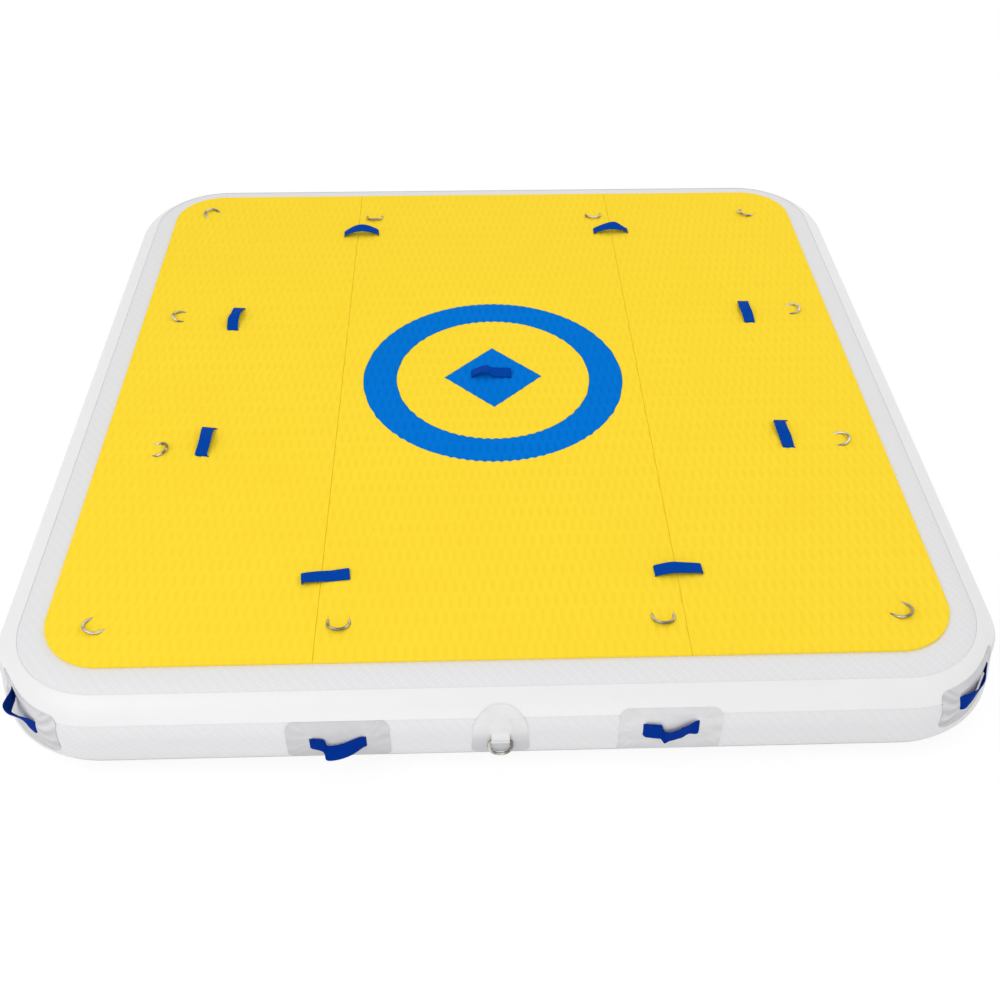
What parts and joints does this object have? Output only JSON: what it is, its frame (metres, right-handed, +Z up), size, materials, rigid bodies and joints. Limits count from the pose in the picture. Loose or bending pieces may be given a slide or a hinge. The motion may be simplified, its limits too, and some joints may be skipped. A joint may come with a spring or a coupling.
{
  "type": "inflatable dock platform",
  "caption": "Square inflatable floating platform with a foam deck, webbing handles and steel D-rings.",
  "frame": {"origin": "middle of the underside, on the surface that the platform rests on", "axes": "+Z up out of the deck, +X to the right, -Y towards the front, which the picture shows"},
  "size_m": [2, 2.0588, 0.2188],
  "materials": {
    "pvc_fabric": "PVC-coated polyester fabric with a fine weave under a satin coat, 1.2 mm",
    "pvc_tape": "smooth PVC seam tape, satin",
    "pvc_patch": "PVC-coated fabric patch, satin",
    "woven_polyester": "woven polyester base cloth and pile yarns, uncoated",
    "yellow_foam": "embossed closed-cell EVA foam, matte",
    "blue_foam": "embossed closed-cell EVA foam, matte",
    "webbing": "woven polyester webbing, 25 mm",
    "stainless_steel": "polished stainless steel wire, bent and welded",
    "valve_plastic": "moulded nylon",
    "seal_rubber": "moulded rubber washer",
    "spring_steel": "drawn spring wire"
  },
  "bodies": {
    "platform": {"bottom_skin": "pvc_fabric", "deck_handle_back_left": "webbing", "deck_handle_back_right": "webbing", "deck_handle_centre": "webbing", "deck_handle_front_left": "webbing", "deck_handle_front_right": "webbing", "deck_handle_left_fore": "webbing", "deck_handle_left_rear": "webbing", "deck_handle_right_fore": "webbing", "deck_handle_right_rear": "webbing", "diamond_mark": "blue_foam", "drop_stitch_fabric": "woven_polyester", "foam_panel_centre": "yellow_foam", "foam_panel_left": "yellow_foam", "foam_panel_right": "yellow_foam", "handle_patch_back_left": "pvc_patch", "handle_patch_back_left_corner": "pvc_patch", "handle_patch_back_right": "pvc_patch", "handle_patch_back_right_corner": "pvc_patch", "handle_patch_front_left": "pvc_patch", "handle_patch_front_left_corner": "pvc_patch", "handle_patch_front_right": "pvc_patch", "handle_patch_front_right_corner": "pvc_patch", "lower_seam_tape": "pvc_tape", "ring_mark": "blue_foam", "ring_mark_disc": "yellow_foam", "ring_patch_back": "pvc_patch", "ring_patch_front": "pvc_patch", "side_wall": "pvc_fabric", "top_skin": "pvc_fabric", "upper_seam_tape": "pvc_tape", "valve_body": "valve_plastic", "valve_nut": "valve_plastic", "valve_seal": "seal_rubber", "valve_spring": "spring_steel", "wall_handle_back_left": "webbing", "wall_handle_back_left_corner": "webbing", "wall_handle_back_right": "webbing", "wall_handle_back_right_corner": "webbing", "wall_handle_front_left": "webbing", "wall_handle_front_left_corner": "webbing", "wall_handle_front_right": "webbing", "wall_handle_front_right_corner": "webbing"},
    "deck_ring_back_left": {"deck_ring_back_left": "stainless_steel"},
    "deck_ring_back_mid_left": {"deck_ring_back_mid_left": "stainless_steel"},
    "deck_ring_back_mid_right": {"deck_ring_back_mid_right": "stainless_steel"},
    "deck_ring_back_right": {"deck_ring_back_right": "stainless_steel"},
    "deck_ring_left_rear": {"deck_ring_left_rear": "stainless_steel"},
    "deck_ring_left_fore": {"deck_ring_left_fore": "stainless_steel"},
    "deck_ring_right_rear": {"deck_ring_right_rear": "stainless_steel"},
    "deck_ring_right_fore": {"deck_ring_right_fore": "stainless_steel"},
    "deck_ring_front_left": {"deck_ring_front_left": "stainless_steel"},
    "deck_ring_front_mid_left": {"deck_ring_front_mid_left": "stainless_steel"},
    "deck_ring_front_mid_right": {"deck_ring_front_mid_right": "stainless_steel"},
    "deck_ring_front_right": {"deck_ring_front_right": "stainless_steel"},
    "wall_ring_front": {"wall_ring_front": "stainless_steel"},
    "wall_ring_back": {"wall_ring_back": "stainless_steel"},
    "valve_stem": {"valve_stem": "valve_plastic"},
    "valve_cap": {"valve_cap": "valve_plastic"}
  },
  "joints": [
    {"name": "deck_ring_back_left_hinge", "type": "hinge", "parent": "platform", "child": "deck_ring_back_left", "pos_m": [-0.776, 0.776, 0.19525], "axis": [0.7071, 0.7071, 0], "range_deg": [0, 148]},
    {"name": "deck_ring_back_mid_left_hinge", "type": "hinge", "parent": "platform", "child": "deck_ring_back_mid_left", "pos_m": [-0.317, 0.776, 0.19525], "axis": [-1, 0, 0], "range_deg": [0, 148]},
    {"name": "deck_ring_back_mid_right_hinge", "type": "hinge", "parent": "platform", "child": "deck_ring_back_mid_right", "pos_m": [0.317, 0.776, 0.19525], "axis": [-1, 0, 0], "range_deg": [0, 148]},
    {"name": "deck_ring_back_right_hinge", "type": "hinge", "parent": "platform", "child": "deck_ring_back_right", "pos_m": [0.776, 0.776, 0.19525], "axis": [-0.7071, 0.7071, 0], "range_deg": [0, 148]},
    {"name": "deck_ring_left_rear_hinge", "type": "hinge", "parent": "platform", "child": "deck_ring_left_rear", "pos_m": [-0.776, 0.264, 0.19525], "axis": [0, 1, 0], "range_deg": [0, 148]},
    {"name": "deck_ring_left_fore_hinge", "type": "hinge", "parent": "platform", "child": "deck_ring_left_fore", "pos_m": [-0.776, -0.264, 0.19525], "axis": [0, -1, 0], "range_deg": [0, 148]},
    {"name": "deck_ring_right_rear_hinge", "type": "hinge", "parent": "platform", "child": "deck_ring_right_rear", "pos_m": [0.776, 0.264, 0.19525], "axis": [0, -1, 0], "range_deg": [0, 148]},
    {"name": "deck_ring_right_fore_hinge", "type": "hinge", "parent": "platform", "child": "deck_ring_right_fore", "pos_m": [0.776, -0.264, 0.19525], "axis": [0, -1, 0], "range_deg": [0, 148]},
    {"name": "deck_ring_front_left_hinge", "type": "hinge", "parent": "platform", "child": "deck_ring_front_left", "pos_m": [-0.776, -0.776, 0.19525], "axis": [-0.7071, 0.7071, 0], "range_deg": [0, 148]},
    {"name": "deck_ring_front_mid_left_hinge", "type": "hinge", "parent": "platform", "child": "deck_ring_front_mid_left", "pos_m": [-0.317, -0.776, 0.19525], "axis": [-1, 0, 0], "range_deg": [0, 148]},
    {"name": "deck_ring_front_mid_right_hinge", "type": "hinge", "parent": "platform", "child": "deck_ring_front_mid_right", "pos_m": [0.317, -0.776, 0.19525], "axis": [-1, 0, 0], "range_deg": [0, 148]},
    {"name": "deck_ring_front_right_hinge", "type": "hinge", "parent": "platform", "child": "deck_ring_front_right", "pos_m": [0.776, -0.776, 0.19525], "axis": [-0.7071, -0.7071, 0], "range_deg": [0, 148]},
    {"name": "wall_ring_front_hinge", "type": "hinge", "parent": "platform", "child": "wall_ring_front", "pos_m": [0, -1.00405, 0.09635], "axis": [-1, 0, 0], "range_deg": [0, 170]},
    {"name": "wall_ring_back_hinge", "type": "hinge", "parent": "platform", "child": "wall_ring_back", "pos_m": [0, 1.00405, 0.09635], "axis": [1, 0, 0], "range_deg": [0, 170]},
    {"name": "valve_stem_push", "type": "slide", "parent": "platform", "child": "valve_stem", "axis": [0, -1, 0], "range_m": [0, 0.005], "stiffness_N_per_m": 300, "springref_m": -0.003, "deforming": ["valve_spring"]},
    {"name": "valve_cap_turn", "type": "hinge", "parent": "platform", "child": "valve_cap", "pos_m": [0.6, 1, 0.09635], "axis": [0, 1, 0], "range_deg": [0, 90]}
  ]
}
